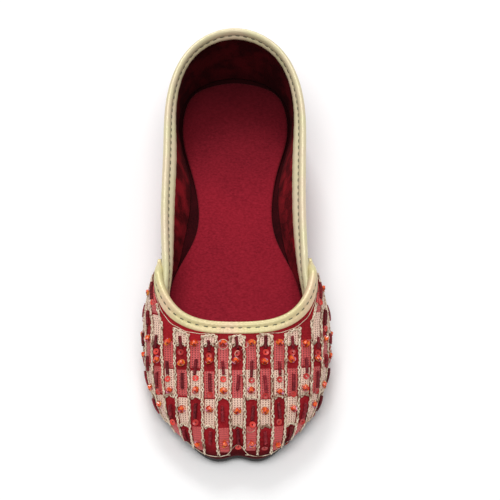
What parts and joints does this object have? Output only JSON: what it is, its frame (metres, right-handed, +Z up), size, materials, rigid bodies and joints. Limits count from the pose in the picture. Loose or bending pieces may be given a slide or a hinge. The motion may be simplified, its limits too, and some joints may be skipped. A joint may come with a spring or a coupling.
{
  "type": "mojari shoe",
  "caption": "Flat slip-on mojari with a notched toe, an open instep, an embroidered hollow vamp lapped over a low back quarter, folded edge bindings and a thin sole.",
  "frame": {"origin": "under the middle of the shoe's box, on the floor that it stands on", "axes": "toe toward -Y, heel toward +Y, the wearer's up is +Z"},
  "size_m": [0.0886, 0.2407, 0.0464],
  "materials": {
    "sole": "black dyed edge, smooth and slightly worn",
    "insole": "wine velveteen with a fine nap",
    "vamp": "wine velvet under blocks of thread embroidery",
    "velvet": "dark wine velvet lining",
    "embroidery": "stitched thread fill in cream, rose and red",
    "binding": "pale metallic gold, satin",
    "thread": "silver and gold metallic thread",
    "coil": "dark wine metal-thread coil",
    "bead": "faceted orange glass",
    "sequin": "glossy coral red"
  },
  "bodies": {
    "root": {"outsole": "sole", "insole": "insole", "vamp": "vamp", "quarter": "velvet", "collar_binding": "binding", "throat_binding": "binding"}
  },
  "joints": []
}
